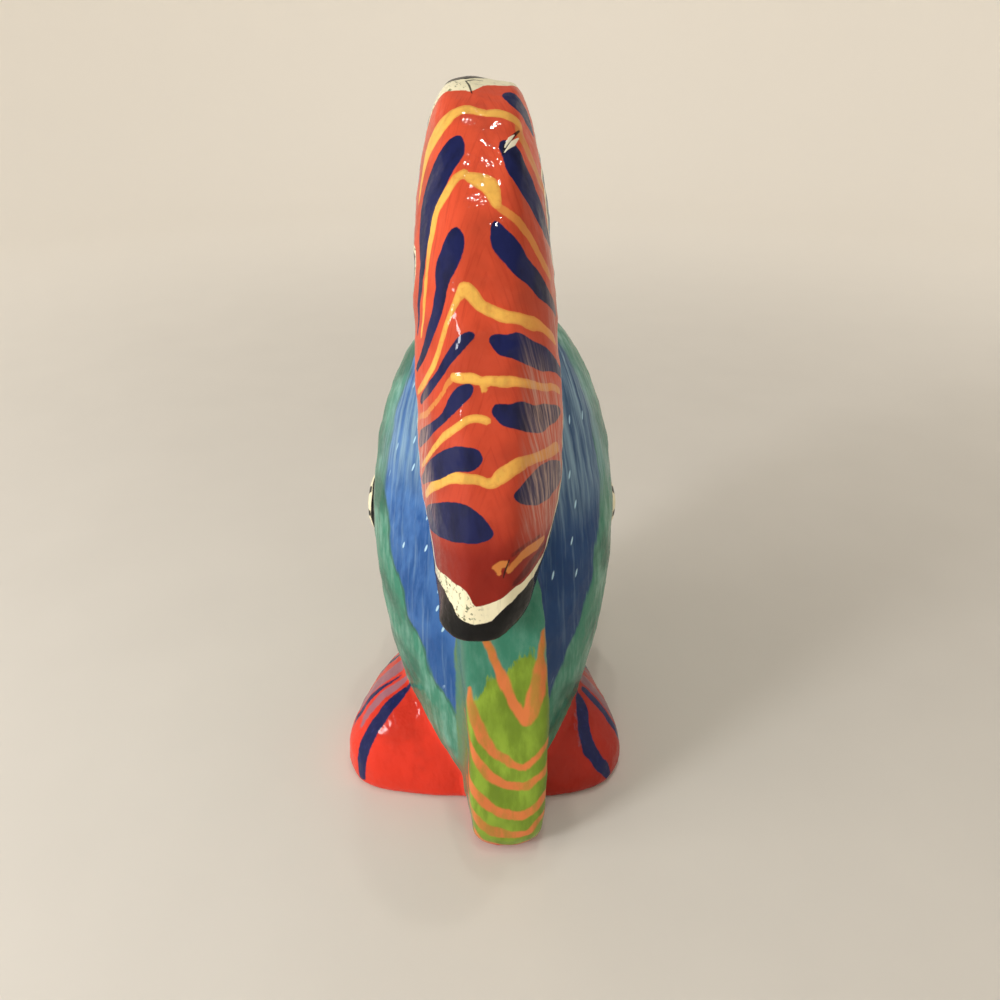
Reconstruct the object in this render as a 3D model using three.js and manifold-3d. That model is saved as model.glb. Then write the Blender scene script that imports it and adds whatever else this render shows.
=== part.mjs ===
// A papier-mache fish, hollow in life and closed all round, painted after it has dried.
// It stands on the low dome of its spread pelvic fins and on the foot of its upright tail.
// Millimetres, +Z up. The fish faces +Y, so its tail and the ridge of its dorsal fin face -Y.
// The named sizes are taken from the middle of the body; the last lines move the whole fish
// so that the origin is at the middle of the underside of its box.

import * as THREE from 'three';
import { mergeVertices } from 'three/addons/utils/BufferGeometryUtils.js';
import Module from 'manifold-3d';

const wasm = await Module();
wasm.setup();

// Body: a deep, flat-sided teardrop, widest a little ahead of its middle.
// Each row is one section: how far forward, its top, its bottom, its half width, its centre line.
const BODY_SECTIONS = [
  { y: -106, top: 118, bottom: 16, half: 10, middle: 6 },
  { y: -96, top: 150, bottom: 10, half: 25, middle: 5 },
  { y: -60, top: 245, bottom: 7, half: 57, middle: 3 },
  { y: -20, top: 316, bottom: 5, half: 77, middle: 1.5 },
  { y: 12, top: 328, bottom: 5, half: 82, middle: 1.5 },
  { y: 50, top: 306, bottom: 10, half: 77, middle: 1 },
  { y: 90, top: 254, bottom: 40, half: 57, middle: 0 },
  { y: 115, top: 209, bottom: 88, half: 39, middle: 0 },
  { y: 129, top: 179, bottom: 118, half: 25, middle: 0 },
  { y: 136, top: 160, bottom: 138, half: 10, middle: 0 },
];
const BODY_STEPS = 34;
const BODY_SIDES = 44;
// How square the lower half of a section is: 2 is a plain ellipse.
const BELLY_SQUARENESS = 2.4;

// Dorsal fin: a thick crest whose ridge is a long quarter of an ellipse at the back
// and a short, steep one at the front. Angles run from the top of the crest, in degrees.
const CREST_MIDDLE_Y = -10;
const CREST_TOP = 432;
const REAR_REACH = 120;
const REAR_DROP = 252;
const FRONT_REACH = 50;
const FRONT_DROP = 132;
const FRONT_ANGLE = -86;
const TIP_ANGLE = 90;
// The root line, deep in the body, that every section of the fin runs in to.
const ROOT_REAR = { reach: 40, drop: 66 };
const ROOT_FRONT = { reach: 22, drop: 30 };
const ROOT_TOP = 246;
// Each row is one place along the ridge: half width of its flat band, full half thickness of the
// fin, and the fin's middle, which wanders a little as a hand-built one does.
const FIN_SECTIONS = [
  { angle: -86, flat: 9, half: 24, middle: 0 },
  { angle: -40, flat: 14, half: 30, middle: -3 },
  { angle: 0, flat: 16, half: 33, middle: -4 },
  { angle: 26, flat: 11, half: 35, middle: -2 },
  { angle: 45, flat: 10, half: 37.5, middle: 0 },
  { angle: 60, flat: 9, half: 38.5, middle: 1.5 },
  { angle: 74, flat: 9, half: 35, middle: 1 },
  { angle: 84, flat: 9, half: 30.5, middle: -1 },
  { angle: 88.5, flat: 8, half: 28, middle: -2 },
  { angle: 90, flat: 5, half: 22, middle: -2 },
];
// The fin swells from the band to its full thickness over this depth, along a full round curve,
// and draws in again towards the root line.
const FIN_SWELL_DEPTH = 52;
const FIN_ROUNDNESS = 1.6;
const FIN_ROOT_SHARE = 0.25;
const FIN_DEPTH_STEPS = 7;
const FIN_STEPS = 48;

// Tail: an upright slab with a rounded back edge, from under the fin's tip down to the ground.
// Each row is one level: its height, its back edge, and the left and right corners there.
const TAIL_LEVELS = [
  { z: 0, back: -119, left: -9, right: 27, corner: 15 },
  { z: 4, back: -126, left: -12, right: 31, corner: 15 },
  { z: 16, back: -130, left: -13, right: 34, corner: 12 },
  { z: 40, back: -128, left: -13.5, right: 35, corner: 8 },
  { z: 90, back: -118, left: -14, right: 36.5, corner: 7 },
  { z: 150, back: -105, left: -18, right: 34, corner: 7 },
  { z: 180, back: -92, left: -15, right: 31, corner: 7 },
  { z: 190, back: -82, left: -9, right: 25, corner: 7 },
];
const TAIL_FRONT = -58;
const TAIL_FRONT_SHIFT = -11;
const TAIL_CORNER_STEPS = 4;
const TAIL_STEPS = 22;

// Pelvic fins: one low dome with a lobe to each side. Its outline on the ground, from the left.
const FOOT_OUTLINE = [
  [-105, -52], [-93, -75], [-50, -86], [0, -87], [52, -86], [83, -74], [95, -49],
  [87, -10], [72, 32], [44, 66], [0, 77], [-46, 66], [-78, 32], [-98, -10],
];
const FOOT_CENTRE = [-6, -18];
const FOOT_HEIGHT = 80;
const FOOT_EDGE = 5;
const FOOT_SIDES = 64;
const FOOT_STEPS = 8;

// Eyes: a shallow round boss on each flank.
const EYE_RADIUS = 26;
const EYE_RISE = 8;
const EYE_ROOT = 14;
const EYE_PLACE = { x: 78.5, y: 43, z: 167 };
const EYE_TURN = 14;
const EYE_SIDES = 28;

// Lips: two full rolls across the snout, the upper one a little ahead of the lower.
const LIPS = [
  { y: 131, z: 162, across: 27, deep: 15, high: 12 },
  { y: 127, z: 139, across: 24, deep: 14, high: 11.5 },
];

// The line through a row of points, as a function of the first number of each.
function along(rows) {
  const curve = rows.map(([at, value]) => new THREE.Vector2(at, value));
  return (at) => {
    const last = curve.length - 2;
    let i = curve.findIndex((point) => point.x > at) - 1;
    if (i < 0) i = at < curve[0].x ? 0 : last;
    const a = curve[i];
    const b = curve[i + 1];
    const before = curve[Math.max(i - 1, 0)];
    const after = curve[Math.min(i + 2, last + 1)];
    const width = b.x - a.x;
    const slopeA = slope(before, a, b);
    const slopeB = slope(a, b, after);
    const t = THREE.MathUtils.clamp((at - a.x) / width, 0, 1);
    const t2 = t * t;
    const t3 = t2 * t;
    return (2 * t3 - 3 * t2 + 1) * a.y + (t3 - 2 * t2 + t) * width * slopeA
      + (3 * t2 - 2 * t3) * b.y + (t3 - t2) * width * slopeB;
  };
}

// The slope at the middle one of three points, level at a peak so that nothing overshoots.
function slope(before, here, after) {
  const left = here.x > before.x ? (here.y - before.y) / (here.x - before.x) : null;
  const right = after.x > here.x ? (after.y - here.y) / (after.x - here.x) : null;
  if (left === null) return right;
  if (right === null) return left;
  if (left * right <= 0) return 0;
  return (2 * left * right) / (left + right);
}

// A closed skin over a row of rings, each with the same number of points, capped at both ends.
function loft(rings) {
  const sides = rings[0].length;
  const positions = rings.flat().flatMap((point) => [point.x, point.y, point.z]);
  const index = [];
  for (let r = 0; r < rings.length - 1; r += 1) {
    for (let s = 0; s < sides; s += 1) {
      const a = r * sides + s;
      const b = r * sides + ((s + 1) % sides);
      index.push(a, b, a + sides, b, b + sides, a + sides);
    }
  }
  [0, rings.length - 1].forEach((r) => {
    const centre = new THREE.Vector3();
    rings[r].forEach((point) => centre.addScaledVector(point, 1 / sides));
    const hub = positions.length / 3;
    positions.push(centre.x, centre.y, centre.z);
    for (let s = 0; s < sides; s += 1) {
      const a = r * sides + s;
      const b = r * sides + ((s + 1) % sides);
      if (r === 0) index.push(hub, b, a);
      else index.push(hub, a, b);
    }
  });
  const geometry = new THREE.BufferGeometry();
  geometry.setAttribute('position', new THREE.Float32BufferAttribute(positions, 3));
  geometry.setIndex(index);
  return geometry;
}

// Geometry to solid, with shared points merged, turned right side out where a loft runs backwards.
function solid(geometry) {
  const bare = geometry.clone();
  bare.deleteAttribute('normal');
  bare.deleteAttribute('uv');
  const merged = mergeVertices(bare, 1e-4);
  const vertProperties = new Float32Array(merged.attributes.position.array);
  const triVerts = new Uint32Array(merged.index.array);
  if (volume(vertProperties, triVerts) < 0) {
    for (let t = 0; t < triVerts.length; t += 3) {
      [triVerts[t + 1], triVerts[t + 2]] = [triVerts[t + 2], triVerts[t + 1]];
    }
  }
  return new wasm.Manifold(new wasm.Mesh({ numProp: 3, vertProperties, triVerts }));
}

function volume(points, triangles) {
  const corner = [new THREE.Vector3(), new THREE.Vector3(), new THREE.Vector3()];
  let sum = 0;
  for (let t = 0; t < triangles.length; t += 3) {
    corner.forEach((point, k) => point.fromArray(points, triangles[t + k] * 3));
    sum += corner[0].dot(corner[1].clone().cross(corner[2])) / 6;
  }
  return sum;
}

function body() {
  const column = (name) => along(BODY_SECTIONS.map((row) => [row.y, row[name]]));
  const top = column('top');
  const bottom = column('bottom');
  const half = column('half');
  const middle = column('middle');
  const first = BODY_SECTIONS[0].y;
  const last = BODY_SECTIONS[BODY_SECTIONS.length - 1].y;
  const rings = [];
  for (let step = 0; step <= BODY_STEPS; step += 1) {
    const y = first + (last - first) * (0.5 - 0.5 * Math.cos((Math.PI * step) / BODY_STEPS));
    const centre = (top(y) + bottom(y)) / 2;
    const rise = (top(y) - bottom(y)) / 2;
    const ring = [];
    for (let side = 0; side < BODY_SIDES; side += 1) {
      const turn = (2 * Math.PI * side) / BODY_SIDES;
      const power = turn > Math.PI ? 2 / BELLY_SQUARENESS : 1;
      const across = Math.sign(Math.cos(turn)) * Math.abs(Math.cos(turn)) ** power;
      const up = Math.sign(Math.sin(turn)) * Math.abs(Math.sin(turn)) ** power;
      ring.push(new THREE.Vector3(middle(y) + half(y) * across, y, centre + rise * up));
    }
    rings.push(ring);
  }
  return loft(rings);
}

// The ridge of the dorsal fin and the root line under it, at an angle from the crest's top.
function crestPoint(degrees, rear, front, top) {
  const turn = THREE.MathUtils.degToRad(degrees);
  const part = degrees >= 0 ? rear : front;
  return new THREE.Vector2(
    CREST_MIDDLE_Y - part.reach * Math.sin(turn),
    top - part.drop * (1 - Math.cos(turn)),
  );
}

function dorsalFin() {
  const ridgeRear = { reach: REAR_REACH, drop: REAR_DROP };
  const ridgeFront = { reach: FRONT_REACH, drop: FRONT_DROP };
  const flatAt = along(FIN_SECTIONS.map((row) => [row.angle, row.flat]));
  const halfAt = along(FIN_SECTIONS.map((row) => [row.angle, row.half]));
  const middleAt = along(FIN_SECTIONS.map((row) => [row.angle, row.middle]));
  const rings = [];
  for (let step = 0; step <= FIN_STEPS; step += 1) {
    const degrees = FRONT_ANGLE + ((TIP_ANGLE - FRONT_ANGLE) * step) / FIN_STEPS;
    const ridge = crestPoint(degrees, ridgeRear, ridgeFront, CREST_TOP);
    const root = crestPoint(degrees, ROOT_REAR, ROOT_FRONT, ROOT_TOP);
    const length = ridge.distanceTo(root);
    const place = (depth) => ridge.clone().lerp(root, depth / length);
    const side = [];
    for (let k = 0; k <= FIN_DEPTH_STEPS; k += 1) {
      const inward = 1 - Math.cos((0.5 * Math.PI * k) / FIN_DEPTH_STEPS);
      const swell = (1 - (1 - inward) ** FIN_ROUNDNESS) ** (1 / FIN_ROUNDNESS);
      const half = THREE.MathUtils.lerp(flatAt(degrees), halfAt(degrees), swell);
      side.push({ at: place(FIN_SWELL_DEPTH * inward), half });
    }
    side.push({ at: place((FIN_SWELL_DEPTH + length) / 2), half: halfAt(degrees) * 0.8 });
    side.push({ at: root, half: halfAt(degrees) * FIN_ROOT_SHARE });
    const x = middleAt(degrees);
    const right = side.map(({ at, half }) => new THREE.Vector3(x + half, at.x, at.y));
    const left = side.map(({ at, half }) => new THREE.Vector3(x - half, at.x, at.y));
    left.reverse();
    rings.push(right.concat(left));
  }
  return loft(rings);
}

function tail() {
  const column = (name) => along(TAIL_LEVELS.map((row) => [row.z, row[name]]));
  const back = column('back');
  const left = column('left');
  const right = column('right');
  const round = column('corner');
  const top = TAIL_LEVELS[TAIL_LEVELS.length - 1].z;
  const rings = [];
  for (let step = 0; step <= TAIL_STEPS; step += 1) {
    const z = top * (0.5 - 0.5 * Math.cos((Math.PI * step) / TAIL_STEPS));
    const ring = [];
    const radius = round(z);
    const corner = (x, turnFrom) => {
      for (let k = 0; k <= TAIL_CORNER_STEPS; k += 1) {
        const turn = THREE.MathUtils.degToRad(turnFrom + (90 * k) / TAIL_CORNER_STEPS);
        ring.push(new THREE.Vector3(
          x + radius * Math.cos(turn),
          back(z) + radius + radius * Math.sin(turn),
          z,
        ));
      }
    };
    corner(left(z) + radius, 180);
    corner(right(z) - radius, 270);
    ring.push(new THREE.Vector3(right(z) + TAIL_FRONT_SHIFT, TAIL_FRONT, z));
    ring.push(new THREE.Vector3(left(z) + TAIL_FRONT_SHIFT, TAIL_FRONT, z));
    rings.push(ring);
  }
  return loft(rings);
}

function pelvicFins() {
  const outline = new THREE.CatmullRomCurve3(
    FOOT_OUTLINE.map(([x, y]) => new THREE.Vector3(x, y, 0)),
    true,
  ).getSpacedPoints(FOOT_SIDES).slice(0, FOOT_SIDES);
  const centre = new THREE.Vector3(FOOT_CENTRE[0], FOOT_CENTRE[1], 0);
  const ringAt = (share, z) => outline.map((point) => {
    const place = centre.clone().lerp(point, share);
    place.z = z;
    return place;
  });
  const rings = [ringAt(0.97, 0)];
  for (let step = 0; step < FOOT_STEPS; step += 1) {
    const turn = (0.5 * Math.PI * step) / FOOT_STEPS;
    rings.push(ringAt(Math.cos(turn), FOOT_EDGE + (FOOT_HEIGHT - FOOT_EDGE) * Math.sin(turn)));
  }
  return loft(rings);
}

function eye(sign) {
  const profile = [new THREE.Vector2(0, -EYE_ROOT), new THREE.Vector2(EYE_RADIUS, -EYE_ROOT)];
  for (let step = 0; step <= 6; step += 1) {
    const turn = (0.5 * Math.PI * step) / 6;
    profile.push(new THREE.Vector2(EYE_RADIUS * Math.cos(turn), EYE_RISE * Math.sin(turn)));
  }
  profile[profile.length - 1].x = 0;
  const boss = new THREE.LatheGeometry(profile, EYE_SIDES);
  boss.rotateZ(-sign * Math.PI / 2);
  boss.rotateZ(sign * THREE.MathUtils.degToRad(EYE_TURN));
  boss.translate(sign * EYE_PLACE.x, EYE_PLACE.y, EYE_PLACE.z);
  return boss;
}

function lip({ y, z, across, deep, high }) {
  const roll = new THREE.SphereGeometry(1, 20, 12);
  roll.scale(across, deep, high);
  roll.translate(0, y, z);
  return roll;
}

const fish = [
  dorsalFin(), tail(), pelvicFins(), eye(1), eye(-1), ...LIPS.map(lip),
].reduce((whole, piece) => whole.add(solid(piece)), solid(body()));

const surface = fish.getMesh();
const geometry = new THREE.BufferGeometry();
geometry.setAttribute('position', new THREE.BufferAttribute(surface.vertProperties, 3));
geometry.setIndex(new THREE.BufferAttribute(surface.triVerts, 1));
geometry.computeVertexNormals();
geometry.computeBoundingBox();
const box = geometry.boundingBox;
const middle = box.getCenter(new THREE.Vector3());

const painted = new THREE.MeshStandardMaterial({ color: 0xb5402c, roughness: 0.35, metalness: 0 });
const sculpture = new THREE.Mesh(geometry, painted);
sculpture.name = 'papier_mache_fish';
sculpture.position.set(-middle.x, -middle.y, -box.min.z);

const group = new THREE.Group();
group.add(sculpture);

export default group;
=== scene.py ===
import math

import bpy
import numpy as np
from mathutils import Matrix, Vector, noise


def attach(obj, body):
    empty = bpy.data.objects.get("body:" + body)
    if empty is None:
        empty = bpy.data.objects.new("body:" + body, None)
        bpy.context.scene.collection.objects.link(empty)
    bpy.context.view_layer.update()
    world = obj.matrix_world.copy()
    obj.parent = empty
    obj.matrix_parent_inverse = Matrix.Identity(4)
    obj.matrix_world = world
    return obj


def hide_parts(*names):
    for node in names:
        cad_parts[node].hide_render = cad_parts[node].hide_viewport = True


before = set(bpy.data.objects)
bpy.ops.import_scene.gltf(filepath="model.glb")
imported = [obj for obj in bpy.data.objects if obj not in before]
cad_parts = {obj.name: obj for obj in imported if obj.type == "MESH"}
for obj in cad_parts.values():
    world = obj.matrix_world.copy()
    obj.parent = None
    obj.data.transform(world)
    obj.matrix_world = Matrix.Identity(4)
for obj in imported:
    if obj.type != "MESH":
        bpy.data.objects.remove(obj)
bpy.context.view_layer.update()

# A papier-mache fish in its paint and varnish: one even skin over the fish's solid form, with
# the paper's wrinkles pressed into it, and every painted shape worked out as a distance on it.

bl_info = {
    "name": "Papier-mache fish",
    "version": (1, 0, 0),
    "blender": (4, 5, 0),
    "location": "3D View > Sidebar > Fish",
    "description": "The painted and varnished skin of a papier-mache fish, and a plain studio for it",
    "category": "Add Mesh",
}

NODE = "papier_mache_fish"
SKIN = "painted_fish"
MM = 0.001
# How far outside its strokes a layer is measured, in millimetres, and a distance beyond all of it.
OUTSIDE = 40.0
FAR = 1e3

# The middle of the body, from which the fish's own measures are taken, in the row frame.
BODY_MIDDLE = np.array([5.094, -8.0, 0.0])

# The dorsal fin's ridge: a quarter ellipse, in millimetres from the middle of the body.
RIDGE_Y = -10.0
RIDGE_Z = 180.0
RIDGE_REACH = 120.0
RIDGE_RISE = 252.0
# The fin's middle wanders from side to side along the ridge: angle, then place.
FIN_MIDDLE = ((-86, 0), (-40, -3), (0, -4), (26, -2), (45, 0), (60, 1.5), (74, 1), (84, -1), (90, -2))

# Where the fin's red ends. On each face, the depth in from the ridge by angle; round the tip and
# at the top of the crest, the angle by distance out from the ridge.
RED_DEPTH_LEFT = ((0, 5), (4, 10), (9, 29), (15, 44), (24, 45), (29, 37), (33, 38), (38, 50),
                  (46, 55), (52, 45), (60, 46), (67, 45), (73, 42), (79, 34), (86, 30))
RED_DEPTH_RIGHT = ((0, 5), (5, 17), (10, 24), (14, 27), (20, 29), (26, 31), (30, 37), (36, 42),
                   (44, 46), (50, 43), (58, 41), (64, 43), (69, 41), (73, 40), (77, 35), (86, 28))
RED_TIP = ((-60, 81.5), (-40, 81.8), (-27, 82), (-15, 82.4), (-10, 83.1), (-6, 84.9), (0, 84.6),
           (6, 83.9), (14, 82.7), (28, 81.2), (47, 79.4), (60, 75))
CREAM_TIP = ((-60, 83.4), (-43, 83.8), (-28, 84.4), (-18, 85.6), (-14, 86.6), (-5, 87.4), (3, 86.8),
             (11, 84.7), (21, 83.3), (35, 81.9), (47, 80.4), (60, 77))
RED_TOP = ((-30, 6), (-20, 7.8), (-14, 10.2), (-9.5, 10.4), (-6, 10.6), (-4, 11.2), (-2.5, 10),
           (1, 7.8), (8, 5.4), (14, 4.6), (18, 2.5), (22, -4), (30, -8))
CREAM_TOP = ((-22, 1), (-18, 3.4), (-14, 4), (-9, 4.8), (-6, 5), (-3, 3.6), (1, 2.6), (5, 0),
             (8, -6), (30, -10))
# The trim: cream and then black beside the red, in millimetres wide, black this far in front of the
# cream at the top, and under the tip, black this deep and no lower than this height.
SIDE_CREAM = 3.4
SIDE_BLACK = 3.0
TOP_BLACK = 8.0
BLACK_DEPTH = 46.0
BLACK_FOOT = 168.0
# Angles: the trim turns into the tip's black from here and over so many degrees, the red darkens
# toward the tip from here, and in front of the last one nothing of the fin is painted.
TIP_ANGLE = 76.0
TIP_BLEND = 8.0
LOW_ANGLE = 77.0
FIN_FRONT = -60.0
# Where the fin is hazed with pale dry brush that also paints the varnish's sheen: to the right of the
# ridge (1) or the left (-1), from how far out, about which angle, half the angle it spans, and
# millimetres for each degree.
FIN_SHEENS = ((1, 12, 64, 15, 1.6), (1, 33, 36, 16, 1.2), (-1, 32, 64, 13, 1.4))

# Fin strokes, each a brush path of angle along the ridge, distance out from it (right of the
# ridge is positive) and half the brush's width there.
YELLOW_STROKES = (
    ((16.8, 1, 2), (16.7, -5, 2.4), (17.2, -11, 2.8), (17.5, -17, 3.9), (17, -23, 5.2),
     (17, -29, 5.6), (18.2, -34, 4.6), (20, -38, 2.6), (23, -42, 1.4)),
    ((17, 1.8, 1.8), (16.9, 5, 2.6), (16.9, 10, 2.9), (17.2, 14, 3), (17, 18, 2.6)),
    ((29.8, -7.8, 1.9), (30.4, -4.5, 3), (30.9, -0.5, 3.8), (31.6, 3, 4.2), (33.4, 5, 3),
     (34.4, 5.8, 2)),
    ((29.2, -8.6, 1.7), (30.1, -12, 2.3), (31, -16, 2.8), (31.8, -20, 3.3), (32.6, -24.5, 3.5),
     (33.9, -28.2, 3.5), (36, -30.5, 2.8), (38.5, -33, 2.1), (42.8, -36.5, 1.8), (46, -43, 1.5)),
    ((45.8, -11.2, 2.6), (46.4, -8, 3.5), (47.9, -3.2, 3.1), (48.8, 3, 2.8), (49.3, 9, 2.9),
     (49.3, 14.7, 3), (49, 20, 2.8), (48, 29, 2.6), (46.5, 44, 2)),
    ((46.4, -12.6, 2.1), (47.3, -14.6, 1.8), (48.9, -18.8, 1.8), (50.6, -23, 1.8), (51.9, -27.4, 2.3),
     (52.8, -33, 2.7), (53.2, -41, 2.8), (52.5, -52, 1.6)),
    ((55.8, -17.2, 1.8), (56.2, -12.8, 2.3), (56.8, -8, 2.6), (57.2, -4, 2), (57, 0, 2.3),
     (57, 6, 2.5), (56.8, 12, 2.3), (56.8, 17, 2.1), (56.2, 26, 1.8), (53, 48, 1.8)),
    ((57.2, -3.6, 1.7), (58.1, -2.7, 1.6)),
    ((61.8, -1.2, 1.6), (61.4, -5.5, 1.8), (61.5, -10, 1.9), (61.8, -14.6, 2.2), (62.2, -20.2, 2.4),
     (62.5, -25.5, 2.4), (63.2, -32.5, 2), (64, -42, 1.8), (64, -52, 1.4)),
    ((69, -48, 2.8), (68.3, -35, 3.1), (68, -23, 3), (68.4, -11.3, 3), (68.6, -5, 2.6),
     (69, -0.6, 2.3), (68.8, 2.9, 2.7), (67.7, 7.4, 3.5), (66.7, 13.2, 3.5), (65.8, 19, 2.5),
     (64.6, 29, 2.3), (61.8, 45, 3)),
)
OCHRE_STROKES = (
    ((17.4, 18.5, 2.4), (19.3, 20, 3.6), (20.3, 24, 4.6), (20.8, 29, 4.8), (21, 34, 4),
     (20.6, 41, 1.6)),
    ((34.2, 4.6, 1.8), (35, 8, 1.8), (35.9, 12, 2), (36.4, 16, 2.5), (36.8, 21, 2.9),
     (37.4, 25, 3), (37.8, 30, 3), (37.5, 40, 2.4)),
    ((56, -18, 1.9), (56.5, -22, 1.5), (57.2, -25.5, 1.4), (57.6, -32, 1.6), (57.5, -42, 1.6),
     (56, -54, 1.4)),
    ((79.5, 3.6, 1.6), (79.2, 6.2, 2.3), (79.1, 9, 2)),
    ((79.4, 5, 2), (80.5, 6, 1.3)),
    ((80, 11, 1.2), (78.8, 15.5, 2), (77.9, 22, 3), (77.1, 31, 3.2), (76.5, 38, 2.2)),
)
NAVY_STROKES = (
    ((23.2, -11, 2.8), (24, -12.8, 5.2), (25.1, -16.2, 8), (26.6, -22.2, 10.4), (28, -27.8, 10.6),
     (29.8, -32, 9), (32.5, -35.6, 6.6), (36, -38.6, 4.6), (40, -42, 3.2), (44, -49, 1.6)),
    ((23.8, 11.2, 2.4), (25.2, 14.2, 5.6), (27.6, 18.9, 8.2), (29, 26, 8.8), (29.4, 34, 7.6),
     (29.2, 44, 4.4)),
    ((10.4, 13.5, 2.6), (10.8, 17.4, 6.6), (10.2, 22.4, 6), (10.6, 28, 3)),
    ((38.7, -13.6, 3), (39.3, -15.2, 5.6), (40.5, -16.9, 7.2), (41.9, -19.3, 6.9),
     (43.3, -21.4, 5), (44.5, -23, 4.6), (46, -24.4, 4.4), (47.3, -27.6, 4.6), (48.3, -33, 4.6),
     (48.9, -40.5, 4), (48.8, -51, 2.2)),
    ((37.8, 4.8, 2.4), (38.9, 6.6, 3.9), (40.5, 10.5, 6.3), (41.4, 13.6, 6.9), (42.2, 17.6, 6.7),
     (42.5, 24, 6), (42, 33, 5), (41, 46, 3.2)),
    ((51.7, -8.7, 2.4), (52.5, -13.2, 3.3), (53.5, -20.4, 3.4), (54.5, -26.2, 3.2), (55, -34, 3.3),
     (54.8, -46, 2.6)),
    ((52.4, 3.2, 3), (52.5, 5, 4.2), (52.8, 9.2, 5.4), (52.7, 15.6, 6.4), (52.6, 22.7, 6.3),
     (51.8, 30.4, 5.2), (50.6, 41, 4), (49.5, 52, 3)),
    ((58, -11.8, 3.6), (58.3, -13.5, 4.7), (58.9, -17.2, 4.6), (59.6, -20.7, 3.5), (60.2, -25, 2.6),
     (60.3, -32, 2.9), (60.2, -41, 4.6), (59.8, -51, 5)),
    ((60.6, 4.4, 3.8), (60.9, 8.3, 5.5), (60.9, 13.8, 6.6), (60.5, 21.7, 6.6), (59.4, 30, 5.4),
     (57.6, 40, 3.2), (56, 48, 1.4)),
    ((66.2, -6, 3), (66.1, -9.8, 5.6), (65.9, -17, 6.5), (65.9, -26.2, 6.9), (66.1, -38, 6.6),
     (66.2, -50, 4)),
    ((70.5, 14.3, 3), (70.1, 20.6, 6), (68.8, 28.4, 9.4), (66.8, 39, 9.6), (65, 50, 6)),
    ((73, -54, 7.4), (73.1, -44, 9.6), (73.5, -32.2, 11), (73.8, -21, 11), (74.1, -12.6, 9.6),
     (74.7, -6.4, 7.2), (75.2, -1.7, 4.4)),
)
# Deep red passes: one on each side of the last ochre stroke.
DEEP_STROKES = (
    ((78, 12, 0.8), (76.8, 20, 1), (75.8, 32, 0.9)),
    ((81.8, 15, 1.6), (80.4, 24, 2.8), (78.8, 34, 2.8), (77.8, 42, 1.8)),
)
# Lines too fine for the skin's points, drawn in the material: the white paper of the tear near the
# top of the crest, and the dark line beside it, painted shade in its fold, with the dark cracks.
TEAR_LINES = (
    ((20.6, 18, 0.2), (23, 14.6, 1.1), (25.6, 10.2, 0.2)),
    ((20.8, 15.6, 0.15), (22.4, 13, 0.8), (24.6, 10.4, 0.3)),
)
FOLD_SHADE_AND_CRACK_LINES = (
    ((18.6, 18.6, 0.3), (21.6, 14.6, 0.7), (24.4, 10.4, 0.9), (26, 9.4, 0.3)),
    ((78.6, 10.8, 0.3), (80.2, 8.8, 0.5), (81, 8.2, 0.2)),
    ((6, -6.8, 0.3), (8.4, -5.2, 0.5), (11.4, -4, 0.3)),
    ((6.2, -6.6, 0.4), (4.6, -2.4, 0.35), (4.2, 1.4, 0.15)),
)

# The blue of the back ends here: how far back, by height, on both flanks.
BLUE_EDGE = ((60, -104), (94, -91), (126, -75), (141, -63), (162, -52), (189, -41), (216, -33),
             (250, -23), (285, -14), (330, 2), (440, 30))

# Tail: its middle, half thickness, back face by height, and the front edge of its paint.
TAIL_MIDDLE = 12.0
TAIL_HALF = 24.0
TAIL_BACK = ((0, -119), (20, -124), (90, -111), (150, -98), (190, -75))
TAIL_EDGE = ((0, -80), (60, -86), (100, -91), (150, -89), (190, -80), (240, -80))
TAIL_TOP = 196.0
# How far past its half thickness the tail's paint runs onto the body, on the left and on the right,
# and the middle and half width of its back face, by distance round.
TAIL_LAP = (10, 6)
TAIL_FACE = (-1, 23)
# The foot of the fin's tip, in y and z, which the tail's paint stays in front of.
FIN_FOOT = (-106, 165)
# Tail strokes: distance round from the middle of the back face, height and half width.
TAIL_STROKES = (
    ((-15, 160, 2.4), (-12.3, 154, 2.5), (-8.9, 145, 2.8), (-4.5, 134.6, 3.2), (-0.8, 124, 3.3),
     (4.6, 112, 3.4), (9.6, 104, 2.5)),
    ((19.4, 160, 1.2), (18.2, 148, 2.6), (17.2, 135, 5), (15, 124, 5.4), (12.8, 113, 4.4),
     (10.4, 104, 2.4)),
    ((-24.5, 128, 1), (-23.2, 117, 2.6), (-20.4, 105, 4.2), (-15.6, 92.2, 3.9), (-9.6, 83.6, 3.1),
     (-0.6, 76.6, 2.6), (8.3, 73.6, 2.3), (15.7, 79, 2), (22, 86, 1.9), (34, 100, 1.6)),
    ((-36, 100, 2), (-24, 84, 2.4), (-18.4, 74.8, 3), (-10.9, 65.6, 3.3), (-0.5, 60, 3.4),
     (9.9, 60, 2.9), (17.3, 65.5, 2.3), (22.6, 71, 2.2), (36, 86, 2)),
    ((-36, 70, 2.2), (-21.3, 54.1, 3.2), (-16, 47.1, 3.4), (-7.2, 40.3, 3.7), (3.3, 37, 3.8),
     (12.6, 40.3, 3.3), (20, 47, 2.8), (36, 62, 2)),
    ((-36, 50, 2.2), (-24.2, 36.3, 3), (-18.8, 29.2, 3.6), (-9.8, 22.5, 3.8), (2.2, 20.4, 3.2),
     (11.6, 23.3, 2.4), (17.2, 29.7, 2.1), (34, 44, 1.8)),
    ((-24, 18, 2), (-14, 9, 2.8), (0, 4, 2.6), (12, 9, 2.2), (22, 18, 1.8)),
)
# Lime begins below this height, by distance round from the middle of the back face.
LIME_EDGE = ((-60, 92), (-40, 104), (-24, 122), (-19, 121), (-14, 131), (-10, 136), (-5, 132),
             (1, 141), (6, 147), (14, 151), (20, 138), (32, 130), (60, 118))

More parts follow.
